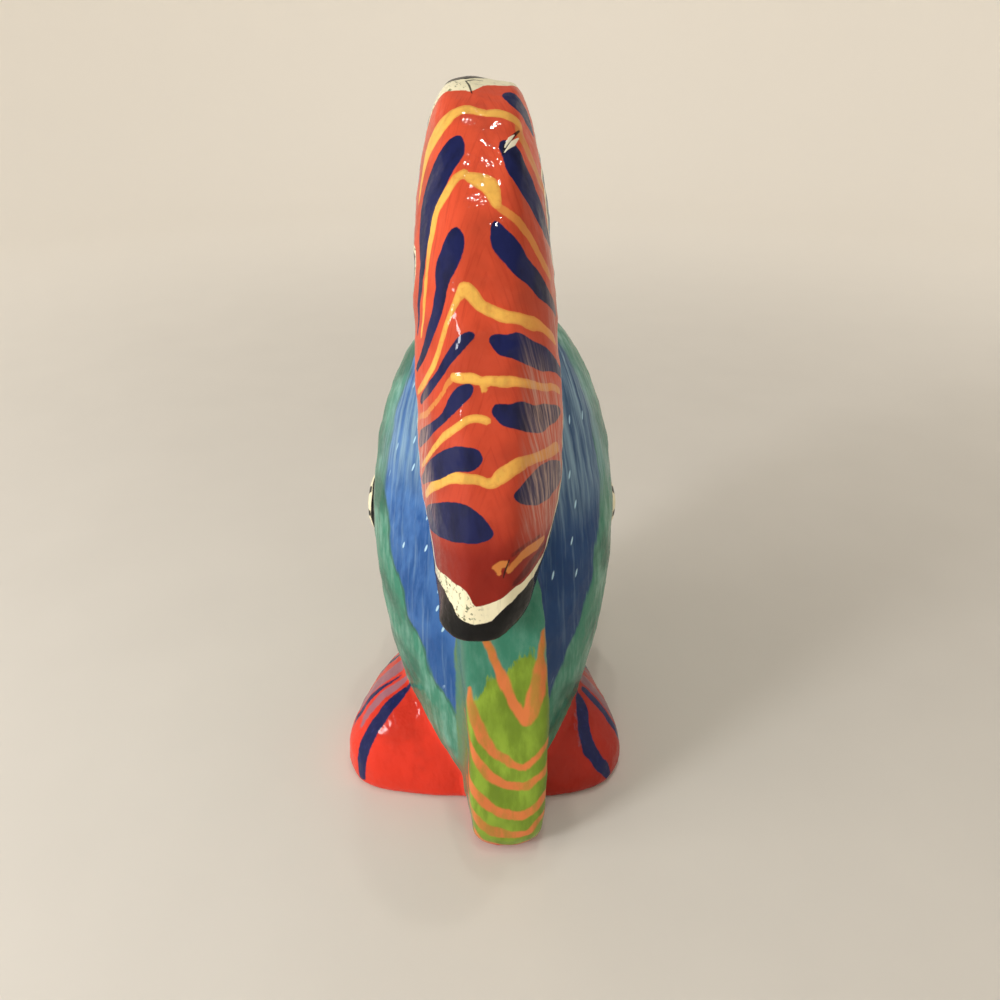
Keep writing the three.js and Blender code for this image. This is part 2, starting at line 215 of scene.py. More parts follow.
# Pelvic fins: stripes by compass angle about the middle of the dome, and the bands that curve
# over the two back lobes, each a path of x, y, z and half width.
FOOT_MIDDLE = (-6, -18)
FOOT_HEIGHT = 80.0
FOOT_EDGE = 5.0
# How far the red runs up past the dome, and how far its stripes bend, in degrees.
FOOT_LAP = 2.2
FOOT_BEND = 8.0
# A stripe's width in the dome's middle and what its edge adds, as shares of the widths below.
FAN_WIDTH = (0.55, 0.55)
# The dome's own outline is read below this height and in front of the tail, at every so many
# degrees, from points this near to each.
FOOT_SOLE = 9.0
FOOT_BACK = -90.0
HEADING_STEP = 6
HEADING_NEAR = 4
FOOT_NAVY = ((168, 4), (151, 2.4), (134, 4), (15, 4.2), (31, 2.4), (47, 4))
FOOT_MAUVE = ((160, 1.6), (142, 1.6), (7, 1.5), (23, 1.5), (39, 1.4))
LOBE_NAVY = (
    ((-54, -47, 78, 2), (-60, -49, 68, 3.2), (-67, -53, 60, 4.4), (-75, -59, 52, 5),
     (-82, -64, 43, 5.2), (-88, -69, 33, 5.2), (-91, -73, 22, 4.6), (-91, -74, 8, 3.6)),
    ((-64, -33, 64, 1.6), (-75, -36, 57, 2.2), (-86, -39, 48, 2.8), (-94, -43, 37, 3),
     (-98, -48, 24, 2.6)),
    ((62, -48, 62, 3), (63, -55, 55, 4.6), (64, -64, 49, 5), (65, -71, 41, 5),
     (70, -75, 30, 5), (78, -76, 19, 4.6), (84, -74, 8, 4)),
    ((66, -40, 58, 2.6), (74, -44, 51, 3.6), (84, -47, 38, 3.8), (91, -48, 25, 3.4),
     (96, -47, 11, 2.6)),
)
LOBE_MAUVE = (
    ((-56, -20, 70, 6), (-70, -22, 62, 8), (-84, -26, 51, 8), (-94, -31, 38, 6.4),
     (-99, -38, 23, 4)),
    ((-60, -40, 69, 2.4), (-69, -42, 62, 3.6), (-79, -46, 53, 4), (-88, -52, 42, 3.4),
     (-93, -58, 30, 2)),
    ((60, -26, 60, 7), (72, -30, 51, 7.6), (85, -34, 39, 7), (95, -38, 24, 4.6)),
    ((58, -58, 55, 1.8), (58, -66, 47, 2.4), (60, -73, 38, 1.8)),
)

# The middle of each eye, in y and z, and its painted rings' radii. The flanks, which the eyes are
# painted on, begin this far to each side.
EYE = (43.0, 167.0)
EYE_RING, EYE_CREAM, EYE_OCHRE, EYE_PUPIL = 27.5, 24.5, 16.0, 10.0
EYE_BARS = 8
EYE_BAR_HALF = 2.6
EYE_BAR_REACH = (15.0, 24.0)
FLANK = 45.0

# The lips' middle height, half height, width for their height, where they begin and what they gain
# in front of there, and the join between them.
LIP_Z, LIP_HALF, LIP_STRETCH, LIP_BACK, LIP_GAIN = 150.5, 17.5, 1.9, 118, 6
MOUTH_BACK, MOUTH_HALF = 126, 1.5
# The gill line: its curve's middle in y and z and radius, half its width, its middle height and
# half height, and the line that it stays behind.
GILL, GILL_HALF, GILL_SPAN, GILL_FRONT = (92, 165, 82), 2, (150, 60), 60

# Short pale dashes over the blue: millimetres from one to the next across and down, half a dash's
# width, how far they lean for each millimetre up, and the chances between which they come in.
DASH_CELL = (9.0, 34.0)
DASH_HALF = 0.65
DASH_LEAN = -0.3
DASH_CHANCE = (0.24, 0.4)
# The way round the body is measured from here, in y, on a circle of this radius.
ROUND_MIDDLE = 40.0
ROUND_RADIUS = 100.0
# The body's pale haze, dry brush that also paints the varnish's sheen, begins above this height and
# behind this line, and less far on the left.
SHEEN_FOOT = 195.0
SHEEN_FRONT = 16.0
SHEEN_LEFT = 14.0
# How far the dry brush leans out from the ridge, for each millimetre along it.
STREAK_LEAN = 0.35

# What the skin does beyond the solid: the crest's torn top rises and the tip's underside swells,
# each a middle in x, y, z, a spread and a push, in millimetres.
SWELLS = (
    ((-11, -14, 434), (9, 30, 16), (0, 0, 3.6)),
    ((3, -14, 434), (13, 30, 16), (0, 0, 1.6)),
    ((-18, -112, 178), (12, 16, 10), (-9, 0, -2)),
    ((-6, -124, 176), (14, 12, 8), (-2, 0, -3)),
    ((17, -114, 190), (9, 14, 12), (4, 0, 0)),
)
# Fewer points than this in the skin mean that it failed.
FEWEST_POINTS = 1000
# The paper's small folds: how many to the metre, the noise's five settings and the range kept of
# it; and the height in millimetres by which the skin is fully lumped and folded.
FOLDS_PER_METRE = 70
FOLD_NOISE = (1.0, 2.1, 3, 1.0, 1.6)
FOLD_RANGE = (-1.2, 1.6)
GROUND_FADE = 4.0
# The varnish, as the material's own settings.
VARNISH = {
    "Coat Weight": 0.5, "Coat Roughness": 0.04, "Coat IOR": 1.4, "Specular IOR Level": 0.05}

# The studio, in metres: the floor's flat radius, the curve up to its wall and the wall's height.
FLOOR_FLAT = 2.2
FLOOR_CURVE = 1.2
WALL_HEIGHT = 2.1
# The place that the lamps look at. Each lamp has a name, a place, a size, watts, a colour, and
# whether the varnish mirrors it as a glint.
LIT_PLACE = (0.0, 0.0, 0.22)
LAMPS = (
    ("key", (-1.5, -0.6, 1.1), (1.1, 1.3), 11, (1.0, 0.97, 0.92), False),
    ("fill", (1.6, -0.9, 1.2), (1.6, 1.6), 1, (1.0, 0.97, 0.93), False),
    ("left glint", (-0.08, 0.05, 2.2), (0.06, 0.06), 2.6, (1.0, 0.96, 0.9), True),
    ("right glint", (0.24, 0.25, 2.2), (0.06, 0.06), 2.6, (1.0, 0.96, 0.9), True),
    ("middle glint", (0.05, -0.35, 2.2), (0.06, 0.06), 2.6, (1.0, 0.96, 0.9), True),
    ("low glint", (-0.05, -0.80, 2.0), (0.06, 0.06), 1.8, (1.0, 0.96, 0.9), True),
    ("side glint", (-1.2, -0.88, 0.66), (0.3, 0.3), 11, (0.98, 0.98, 1.0), True),
)
# Lamps in a ring that light the wall: how many, the ring's radius and height, how far out and down
# each looks, and its size, watts and colour.
WALL_LAMPS = 6
WALL_LAMP_RING = (1.5, 1.9)
WALL_LAMP_LOOK = (1.9, 1.6)
WALL_LAMP_SIZE = (1.0, 0.4)
WALL_LAMP_WATTS = 10.5
WALL_LAMP_COLOUR = (1.0, 0.98, 0.95)
SURROUND_COLOUR = (1.0, 0.97, 0.91, 1)
SURROUND_STRENGTH = 0.28
# The camera's frame, in millimetres wide, and the nearest thing that it sees, in metres.
FRAME_WIDTH = 36
NEAREST = 0.01


def srgb(red, green, blue):
    """A colour of 0 to 255 as the eye reads it, as the light values that Blender works in."""
    def light(value):
        share = value / 255
        return share / 12.92 if share <= 0.04045 else ((share + 0.055) / 1.055) ** 2.4
    return (light(red), light(green), light(blue))


def colour_property(name, words, value):
    return bpy.props.FloatVectorProperty(
        name=name, description=words, subtype="COLOR", size=3, min=0, max=1, default=value)


def length_property(name, words, value):
    return bpy.props.FloatProperty(
        name=name, description=words, unit="LENGTH", min=0, default=value, precision=5)


class FishSizes(bpy.types.PropertyGroup):
    mesh_step: length_property("Mesh step", "Spacing of the skin's points", 0.00197)
    lump_depth: length_property("Lump depth", "How uneven the built-up paper is", 0.00055)
    wrinkle_depth: length_property("Wrinkle depth", "Depth of the paper's small folds", 0.00014)
    brush_wobble: length_property("Brush wobble", "How unsteady a painted edge is", 0.0005)
    smooth_rounds: bpy.props.IntProperty(
        name="Smoothing", description="Rounds of smoothing over the joins", min=0, default=14)


class FishColours(bpy.types.PropertyGroup):
    red: colour_property("Red", "Field of the dorsal fin", srgb(212, 80, 50))
    deep_red: colour_property("Deep red", "Darker passes of the red", srgb(146, 26, 14))
    foot_red: colour_property("Foot red", "Pelvic fins", srgb(222, 54, 34))
    navy: colour_property("Navy", "Teardrops and bands", srgb(24, 30, 78))
    yellow: colour_property("Yellow", "Lines on the fin", srgb(234, 180, 84))
    ochre: colour_property("Ochre", "Thin yellow over red", srgb(206, 128, 62))
    cream: colour_property("Cream", "Trim round the fin", srgb(238, 230, 196))
    black: colour_property("Black", "Trim round the fin and under its tip", srgb(7, 7, 8))
    blue: colour_property("Blue", "Back of the body", srgb(68, 113, 174))
    deep_blue: colour_property("Deep blue", "Darker passes of the blue", srgb(32, 80, 142))
    teal: colour_property("Teal", "Flanks and top of the tail", srgb(58, 128, 104))
    pale_teal: colour_property("Pale teal", "Lighter passes of the teal", srgb(112, 164, 146))
    lime: colour_property("Lime", "Foot of the tail", srgb(142, 172, 56))
    olive: colour_property("Olive", "Darker passes of the lime", srgb(96, 122, 30))
    orange: colour_property("Orange", "Stripes on the tail", srgb(214, 120, 66))
    mauve: colour_property("Mauve", "Strips along the pelvic fins", srgb(158, 100, 112))
    paper: colour_property("Paper", "Bare paper in the tear", srgb(240, 232, 206))
    # Pale dry white that also stands in for the varnish's sheen on the fin: painted sheen.
    dry_white_and_sheen: colour_property("Haze", "Dry white brushed thinly over the fin", srgb(214, 182, 166))
    # The pale white of the body's dashes, which also paints the sheen streaked over the blue.
    dashes_and_sheen: colour_property("Mist", "Pale streaks and dashes on the body", srgb(148, 180, 196))


class FishStudio(bpy.types.PropertyGroup):
    floor: colour_property("Floor", "Plain pale floor", srgb(216, 210, 200))
    distance: length_property("Camera behind", "Camera to the middle of the body", 0.430)
    height: length_property("Camera height", "Camera above the floor", 0.443)
    aside: length_property("Camera aside", "Camera to the right of the body's middle", 0.006)
    pitch: bpy.props.FloatProperty(
        name="Camera pitch", description="How far the camera looks down", subtype="ANGLE",
        default=math.radians(30.5))
    lens: bpy.props.FloatProperty(
        name="Lens", description="Focal length on a 36 mm wide frame", default=27.0, min=1)


def interpolate(rows, at):
    return np.interp(at, [row[0] for row in rows], [row[1] for row in rows])


# Skin

def fine_skin(step, rounds):
    """The fish's solid as one even mesh with its joins rounded over, as pasted paper leaves them."""
    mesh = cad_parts[NODE].data.copy()
    mesh.name = SKIN
    skin = bpy.data.objects.new(SKIN, mesh)
    bpy.context.scene.collection.objects.link(skin)
    even = skin.modifiers.new("even skin", "REMESH")
    even.mode = "VOXEL"
    even.voxel_size = step
    soft = skin.modifiers.new("rounded joins", "SMOOTH")
    soft.factor = 0.5
    soft.iterations = rounds
    graph = bpy.context.evaluated_depsgraph_get()
    done = bpy.data.meshes.new_from_object(skin.evaluated_get(graph))
    skin.modifiers.clear()
    skin.data = done
    done.name = SKIN
    bpy.data.meshes.remove(mesh)
    done.materials.clear()
    done.shade_smooth()
    return skin


def vectors(rows, name="co"):
    """A mesh's points, or its normals, one a row."""
    flat = np.empty(len(rows) * 3, np.float32)
    rows.foreach_get(name, flat)
    return flat.reshape(-1, 3).astype(float)


def waves(places, size, seed, count=7):
    """A smooth wobble between about -1 and 1 over places in millimetres, with swells of that size."""
    rng = np.random.default_rng(seed)
    total = np.zeros(len(places))
    for _ in range(count):
        way = rng.normal(size=3)
        way *= rng.uniform(0.6, 1.5) / np.linalg.norm(way)
        total += np.sin(places @ way * (2 * math.pi / size) + rng.uniform(0, 2 * math.pi))
    return total / math.sqrt(count)


def swelled(fish):
    """The points with the crest's torn top raised and the tip's underside swelled."""
    moved = fish.copy()
    for middle, spread, push in SWELLS:
        gap = (fish - np.array(middle)) / np.array(spread)
        moved += np.exp(-(gap ** 2).sum(axis=1) / 2)[:, None] * np.array(push)
    return moved


def press_paper(skin, sizes):
    """Lumps and small folds pressed into the skin, along its normals, held off the ground."""
    mesh = skin.data
    co = (swelled(vectors(mesh.vertices) / MM - BODY_MIDDLE) + BODY_MIDDLE) * MM
    out = vectors(mesh.vertex_normals, "vector")
    folds = np.array([
        noise.ridged_multi_fractal(
            Vector(point) * FOLDS_PER_METRE, *FOLD_NOISE, noise_basis="PERLIN_ORIGINAL")
        for point in co])
    folds = (folds - folds.mean()) / (folds.std() + 1e-9)
    lumps = waves(co / MM, 55, 11) * 0.6 + waves(co / MM, 26, 12) * 0.4
    rise = lumps * sizes.lump_depth + np.clip(folds, *FOLD_RANGE) * sizes.wrinkle_depth
    rise -= sizes.lump_depth + sizes.wrinkle_depth
    held = np.clip(co[:, 2] / (GROUND_FADE * MM), 0, 1)
    co += out * (rise * held)[:, None]
    co[:, 2] = np.maximum(co[:, 2], 0)
    mesh.vertices.foreach_set("co", co.astype(np.float32).ravel())
    mesh.update()


# Paint

def fin_measures(fish):
    """Angle along the ridge, depth in from it and signed distance out from it, for each point."""
    back = -(fish[:, 1] - RIDGE_Y) / RIDGE_REACH
    up = (fish[:, 2] - RIDGE_Z) / RIDGE_RISE
    angle = np.degrees(np.arctan2(back, up))
    share = np.hypot(back, up)
    turn = np.radians(angle)
    reach = np.hypot(RIDGE_REACH * np.sin(turn), RIDGE_RISE * np.cos(turn))
    depth = np.maximum((1 - share) * reach, 0)
    across = fish[:, 0] - interpolate(FIN_MIDDLE, angle)
    outward = np.where(across < 0, -1, 1) * np.hypot(across, depth)
    return angle, depth, outward


def ridge_length(angle):
    """Millimetres along the ridge from its top."""
    table = np.radians(np.linspace(-90, 180, 541))
    speed = np.hypot(RIDGE_REACH * np.cos(table), RIDGE_RISE * np.sin(table))
    steps = 0.5 * (speed[1:] + speed[:-1]) * np.diff(table)
    length = np.concatenate([[0], np.cumsum(steps)])
    length -= np.interp(0, np.degrees(table), length)
    return np.interp(angle, np.degrees(table), length)


def smooth_path(nodes, parts=4):
    """A brush path drawn out as a smooth curve through its points."""
    rows = np.array(nodes, float)
    ends = np.vstack([2 * rows[0] - rows[1], rows, 2 * rows[-1] - rows[-2]])
    laid = [rows[0]]
    for i in range(1, len(ends) - 2):
        before, here, there, after = ends[i - 1:i + 3]
        for share in np.linspace(0, 1, parts + 1)[1:]:
            bend = 2 * before - 5 * here + 4 * there - after
            turn = 3 * here - before - 3 * there + after
            laid.append(here + 0.5 * ((there - before) * share + bend * share ** 2 + turn * share ** 3))
    return np.array(laid)


def stroke_depth(places, nodes):
    """How deep inside one brush stroke each place is, in millimetres, below zero outside."""
    path = smooth_path(nodes)
    low = path[:, :-1].min(axis=0) - OUTSIDE
    high = path[:, :-1].max(axis=0) + OUTSIDE
    near = np.all((places > low) & (places < high), axis=1)
    spots = places[near]
    best = np.full(len(spots), -OUTSIDE)
    for a, b in zip(path[:-1], path[1:]):
        run = (b - a)[:-1]
        share = np.clip((spots - a[:-1]) @ run / (run @ run + 1e-9), 0, 1)
        gap = np.linalg.norm(spots - a[:-1] - share[:, None] * run, axis=1)
        best = np.maximum(best, a[-1] + share * (b[-1] - a[-1]) - gap)
    depth = np.full(len(places), -OUTSIDE)
    depth[near] = best
    return depth


def strokes_depth(places, strokes):
    best = np.full(len(places), -OUTSIDE)
    for nodes in strokes:
        best = np.maximum(best, stroke_depth(places, nodes))
    return best


def fin_strokes(strokes):
    """Fin strokes with their angles as millimetres along the ridge."""
    return [[(ridge_length(angle), out, half) for angle, out, half in nodes] for nodes in strokes]


def fin_paint(fish, wobble):
    """The fin's field, its cream and black trim, its strokes and the haze over them."""
    angle, depth, outward = fin_measures(fish)
    along = ridge_length(angle)
    flat = np.stack([along + wobble[0], outward + wobble[1]], axis=1)

    def short_of(edge):
        return ridge_length(interpolate(edge, outward)) - along + wobble[0]

    def past(edge):
        return along - ridge_length(interpolate(edge, outward)) + wobble[0]

    left_depth = interpolate(RED_DEPTH_LEFT, angle)
    right_depth = interpolate(RED_DEPTH_RIGHT, angle)
    red_depth = np.where(outward < 0, left_depth, right_depth)
    side = red_depth - depth + wobble[1]
    red = np.minimum(np.minimum(short_of(RED_TIP), past(RED_TOP)), side)
    cream_top = past(CREAM_TOP)
    cream = np.minimum(np.minimum(short_of(CREAM_TIP), cream_top), side + SIDE_CREAM)
    near_tip = np.clip((angle - TIP_ANGLE) / TIP_BLEND, 0, 1)
    black_depth = (red_depth + SIDE_CREAM + SIDE_BLACK) * (1 - near_tip) + BLACK_DEPTH * near_tip
    black = np.minimum(black_depth - depth, cream_top + TOP_BLACK)
    black = np.minimum(black, fish[:, 2] - BLACK_FOOT)
    away = FAR * (angle < FIN_FRONT)
    sheen_hazes = [np.minimum(way * outward - near, slope * (half - np.abs(angle - middle)))
             for way, near, middle, half, slope in FIN_SHEENS]
    return {
        "fin_red": red - away,
        "fin_cream": cream - away,
        "fin_black": black - away,
        "fin_yellow": np.minimum(strokes_depth(flat, fin_strokes(YELLOW_STROKES)), red),
        "fin_ochre": np.minimum(strokes_depth(flat, fin_strokes(OCHRE_STROKES)), red),
        "fin_navy": np.minimum(strokes_depth(flat, fin_strokes(NAVY_STROKES)), red),
        "fin_deep": strokes_depth(flat, fin_strokes(DEEP_STROKES)),
        "fin_sheen": np.max(sheen_hazes, axis=0),
        "fin_low": angle - LOW_ANGLE,
        "fin_along": along,
        "fin_out": outward,
        "fin_lean": np.abs(outward) - STREAK_LEAN * along,
    }


def tail_paint(fish, wobble):
    """The tail's own field, its lime foot and its orange stripes."""
    x, y, z = fish.T
    across = x - TAIL_MIDDLE
    lap = np.where(across < 0, TAIL_LAP[0], TAIL_LAP[1])
    inside = np.minimum(interpolate(TAIL_EDGE, z) - y, TAIL_HALF + lap - np.abs(across))
    inside = np.minimum(inside, TAIL_TOP - z)
    inside = np.minimum(inside, y - FIN_FOOT[0] + 2 * np.maximum(0, FIN_FOOT[1] - z))
    round_side = np.maximum(y - interpolate(TAIL_BACK, z), 0)
    about = across + np.where(across < 0, -1, 1) * round_side
    flat = np.stack([about + wobble[0], z + wobble[1]], axis=1)
    return {
        "tail_field": inside,
        "tail_lime": interpolate(LIME_EDGE, about) - z,
        "tail_side": np.abs(about - TAIL_FACE[0]) - TAIL_FACE[1],
        "tail_orange": strokes_depth(flat, TAIL_STROKES),
        "tail_right": about,
    }


def foot_paint(fish, wobble):
    """The pelvic fins' field, and the stripes that run out over it."""
    x = fish[:, 0] - FOOT_MIDDLE[0]
    y = fish[:, 1] - FOOT_MIDDLE[1]
    heading = np.degrees(np.arctan2(y, x)) % 360
    out = np.hypot(x, y)
    low = (fish[:, 2] < FOOT_SOLE) & (fish[:, 1] > FOOT_BACK)

    def turned_from(at):
        return np.abs((heading - at + 180) % 360 - 180)

    headings = np.arange(0, 361, HEADING_STEP)
    reach = np.array([out[low & (turned_from(at) < HEADING_NEAR)].max() for at in headings])
    share = np.clip(out / np.interp(heading, headings, reach), 0, 1)
    dome = FOOT_EDGE + (FOOT_HEIGHT - FOOT_EDGE) * np.sqrt(1 - share ** 2)

    def fan(rows):
        best = np.full(len(fish), -OUTSIDE)
        for at, half in rows:
            bent = at + FOOT_BEND * (1 - share) * (1 if at < 90 else -1)
            gap = np.radians(turned_from(bent)) * out
            width = FAN_WIDTH[0] + FAN_WIDTH[1] * share
            best = np.maximum(best, half * width - gap + wobble[1])
        return best

    brushed = fish + wobble[0][:, None]
    return {
        "foot_field": dome - fish[:, 2] + FOOT_LAP,
        "foot_navy": np.maximum(fan(FOOT_NAVY), strokes_depth(brushed, LOBE_NAVY)),
        "foot_mauve": np.maximum(fan(FOOT_MAUVE), strokes_depth(brushed, LOBE_MAUVE)),
    }


def body_paint(fish, wobble):
    """The blue of the back, the way round it, the painted sheen's haze and the distance from each eye's
    middle.
    """
    x, y, z = fish.T
    blue = interpolate(BLUE_EDGE, z) - y + 1.6 * waves(fish, 40, 21)
    sheened = np.minimum(z - SHEEN_FOOT, SHEEN_FRONT - y) - np.where(x < 0, SHEEN_LEFT, 0)
    radius = np.hypot(y - EYE[0], z - EYE[1])
    turn = np.arctan2(z - EYE[1], y - EYE[0])
    off_bar = np.abs(((turn / (2 * math.pi) * EYE_BARS + 0.5) % 1) - 0.5)
    bar = EYE_BAR_HALF - off_bar / EYE_BARS * 2 * math.pi * radius
    bar = np.minimum(np.minimum(bar, radius - EYE_BAR_REACH[0]), EYE_BAR_REACH[1] - radius)
    off_flank = FAR * (np.abs(x) < FLANK)
    return {
        "body_blue": blue,
        "body_round": np.arctan2(x, ROUND_MIDDLE - y) * ROUND_RADIUS,
        "body_up": z,
        "body_left": -x,
        "body_sheen": sheened,
        "eye_ring": EYE_RING - radius - off_flank + wobble[0],
        "eye_cream": EYE_CREAM - radius - off_flank + wobble[1],
        "eye_bar": bar - off_flank,
        "eye_ochre": EYE_OCHRE - radius - off_flank + wobble[1],
        "eye_pupil": EYE_PUPIL - radius - off_flank + wobble[0],
    }


def lip_paint(fish, wobble):
    """The lips, the gill line and the mouth's dark join, on the hidden front."""
    x, y, z = fish.T
    lips = LIP_HALF - np.hypot(x / LIP_STRETCH, z - LIP_Z) + np.minimum(y - LIP_BACK, LIP_GAIN)
    gill = GILL_HALF - np.abs(np.hypot(y - GILL[0], z - GILL[1]) - GILL[2])
    gill = np.minimum(gill, GILL_SPAN[1] - np.abs(z - GILL_SPAN[0]))
    gill = np.where(y < GILL_FRONT, gill, -OUTSIDE)
    mouth = np.where(y > MOUTH_BACK, MOUTH_HALF - np.abs(z - LIP_Z), -OUTSIDE)
    return {"lip_field": lips + wobble[0], "gill_line": gill + wobble[1], "mouth_line": mouth}


def lay_paint(skin, sizes):
    """Every painted shape as a distance in millimetres at each point, above zero inside it."""
    fish = vectors(skin.data.vertices) / MM - BODY_MIDDLE
    unsteady = sizes.brush_wobble / MM
    wobble = (waves(fish, 14, 31) * unsteady, waves(fish, 17, 32) * unsteady)
    layers = {}
    for painter in (body_paint, lip_paint, tail_paint, foot_paint, fin_paint):
        layers.update(painter(fish, wobble))
    for name, values in layers.items():
        attribute = skin.data.attributes.new(name, "FLOAT", "POINT")
        attribute.data.foreach_set("value", values.astype(np.float32))


# Finish

class Mixer:
    """Builds the paint's node tree, one named colour over another."""

    def __init__(self, material):
        self.tree = material.node_tree
        self.place = self.node("NewGeometry").outputs["Position"]

    def node(self, kind, inputs=(), **settings):
        """A new node with those settings; each input is set to a value or linked to a socket."""
        made = self.tree.nodes.new("ShaderNode" + kind)
        for name, value in settings.items():
            setattr(made, name, value)
        for at, value in dict(inputs).items():
            if hasattr(value, "links"):
                self.tree.links.new(value, made.inputs[at])
            else:
                made.inputs[at].default_value = value
        return made

    def noise(self, size_mm, detail=3, stretch=(1, 1, 1), roughness=0.5, place=None):
        """Cloudy noise with swells of that size, drawn out by stretch along each axis."""
        unit = 1 if place else 1000
        scale = [unit / size_mm / part for part in stretch]
        scaled = self.vector("MULTIPLY", place or self.place, scale).outputs[0]
        return self.node("TexNoise", {
            "Scale": 1, "Detail": detail, "Roughness": roughness, "Vector": scaled}).outputs["Fac"]

    def flat_place(self, first, second):
        """Two layers that measure millimetres over the skin, as a flat place."""
        return self.node("CombineXYZ", {0: self.layer(first), 1: self.layer(second)}).outputs[0]

    def sum(self, a, b, operation="ADD"):
        return self.node("Math", {0: a, 1: b}, operation=operation).outputs[0]

    def times(self, a, b):
        return self.sum(a, b, "MULTIPLY")

    def ramp(self, value, low, high, to_low=0.0, to_high=1.0):
        return self.node("MapRange", {
            "Value": value, "From Min": low, "From Max": high, "To Min": to_low, "To Max": to_high,
        }, interpolation_type="SMOOTHSTEP").outputs["Result"]

    def layer(self, name):
        return self.node("Attribute", attribute_name=name).outputs["Fac"]

    def mix(self, share, under, over):
        """One colour over another, each a socket or red, green and blue."""
        a, b = [part if hasattr(part, "links") else (*part, 1) for part in (under, over)]
        made = self.node("Mix", {"Factor": share, "A": a, "B": b}, data_type="RGBA")
        return made.outputs["Result"]

    def within(self, name, soft, ragged, grain, grow=0.0):
        """One inside a layer and nought outside it, with a soft and ragged edge in millimetres."""
        rough = self.times(self.sum(grain, -0.5), 2 * ragged)
        return self.ramp(self.sum(self.layer(name), rough), -soft - grow, soft - grow)

    def cover(self, under, name, over, soft, ragged, grain):
        return self.mix(self.within(name, soft, ragged, grain), under, over)

    def vector(self, operation, a, b):
        return self.node("VectorMath", {0: a, 1: b}, operation=operation)

    def line_depth(self, place, lines):
        """How deep inside fine straight-sided lines the place on the fin is."""
        best = None
        for nodes in lines:
            path = [(ridge_length(angle), out, half) for angle, out, half in nodes]
            for a, b in zip(path[:-1], path[1:]):
                run = np.array([b[0] - a[0], b[1] - a[1], 0.0])
                from_a = self.vector("SUBTRACT", place, (a[0], a[1], 0.0)).outputs["Vector"]
                share = self.vector("DOT_PRODUCT", from_a, tuple(run / (run @ run))).outputs["Value"]
                share = self.node("Clamp", {"Value": share}).outputs["Result"]
                made = self.node("VectorMath", {0: tuple(run), "Scale": share}, operation="SCALE")
                gap = self.vector("DISTANCE", from_a, made.outputs["Vector"]).outputs["Value"]
                half = self.sum(self.times(share, float(b[2] - a[2])), float(a[2]))
                inside = self.sum(half, gap, "SUBTRACT")
                best = inside if best is None else self.sum(best, inside, "MAXIMUM")
        return best

    def dashes(self, across, down):
        """Short thin dashes scattered by those two measures, about a third of the cells left bare."""
        leaning = self.sum(self.layer(across), self.times(self.layer(down), DASH_LEAN))
        cell = self.times(leaning, 1 / DASH_CELL[0])
        made = self.node("CombineXYZ", {0: cell, 1: self.times(self.layer(down), 1 / DASH_CELL[1])})
        cells = self.node(
            "TexVoronoi", {"Scale": 1, "Vector": made.outputs[0]}, voronoi_dimensions="2D")
        reach = DASH_HALF / DASH_CELL[0]
        spot = self.ramp(cells.outputs["Distance"], reach * 1.2, reach * 0.7)
        pick = self.node("SeparateColor", {0: cells.outputs["Color"]})
        return self.times(spot, self.ramp(pick.outputs[0], *DASH_CHANCE))


def tinted(colour, share):
    """A colour made lighter, above one, or darker, below one."""
    return tuple(min(1.0, part * share) for part in colour)


def body_colour(mixer, colours, noises):
    """Teal flanks, blue back with its dashes, lips, gill line and eyes."""
    brush, fine, broad, _ = noises
    teal = mixer.mix(mixer.ramp(brush, 0.42, 0.7), colours.teal, colours.pale_teal)
    teal = mixer.mix(mixer.ramp(broad, 0.48, 0.66), teal, tinted(colours.teal, 0.6))
    left = mixer.layer("body_left")
    streaks = mixer.noise(2.6, 4, (1, 22, 1), 0.55, mixer.flat_place("body_round", "body_up"))
    blue = mixer.mix(mixer.ramp(brush, 0.36, 0.66), colours.deep_blue, colours.blue)
    blue = mixer.mix(mixer.ramp(broad, 0.5, 0.7), blue, tinted(colours.blue, 1.2))
    low = mixer.ramp(mixer.layer("body_up"), 210, 110, 0, 0.7)
    blue = mixer.mix(low, blue, tinted(colours.deep_blue, 0.9))
    # Painted shade: the blue darkens toward the fish's right side, away from the light.
    blue = mixer.mix(mixer.ramp(left, 6, -34, 0, 0.85), blue, tinted(colours.deep_blue, 0.45))
    # Painted sheen: pale streaks over the blue.
    blue = mixer.mix(mixer.ramp(streaks, 0.5, 0.8, 0, 0.3), blue, colours.dashes_and_sheen)
    rim = mixer.within("body_blue", 1.0, 3.0, streaks, grow=2.4)
    rim = mixer.times(rim, mixer.ramp(left, 0, 20, 0.15, 0.6))
    paint = mixer.mix(rim, teal, tinted(colours.teal, 0.35))
    paint = mixer.cover(paint, "body_blue", blue, 1.6, 3.0, streaks)
    # Painted sheen: a pale streaky haze over the upper body.
    sheened = mixer.ramp(mixer.layer("body_sheen"), 0, 40)
    sheened = mixer.times(sheened, mixer.ramp(streaks, 0.3, 0.74, 0.1, 0.75))
    paint = mixer.mix(sheened, paint, colours.dashes_and_sheen)
    dashes = mixer.dashes("body_round", "body_up")
    dashes = mixer.times(dashes, mixer.within("body_blue", 4, 0, fine, -5))
    paint = mixer.mix(dashes, paint, tinted(colours.dashes_and_sheen, 1.4))
    paint = mixer.cover(paint, "gill_line", colours.navy, 0.5, 0.6, fine)
    lips = mixer.mix(mixer.ramp(brush, 0.4, 0.7), colours.orange, colours.foot_red)
    paint = mixer.cover(paint, "lip_field", lips, 0.5, 0.6, fine)
    paint = mixer.cover(paint, "mouth_line", colours.black, 0.5, 0.5, fine)
    for name, colour in (("eye_ring", colours.black), ("eye_cream", colours.cream),
                         ("eye_bar", colours.black), ("eye_ochre", colours.ochre),
                         ("eye_pupil", colours.black)):
        paint = mixer.cover(paint, name, colour, 0.4, 0.4, fine)
    return paint


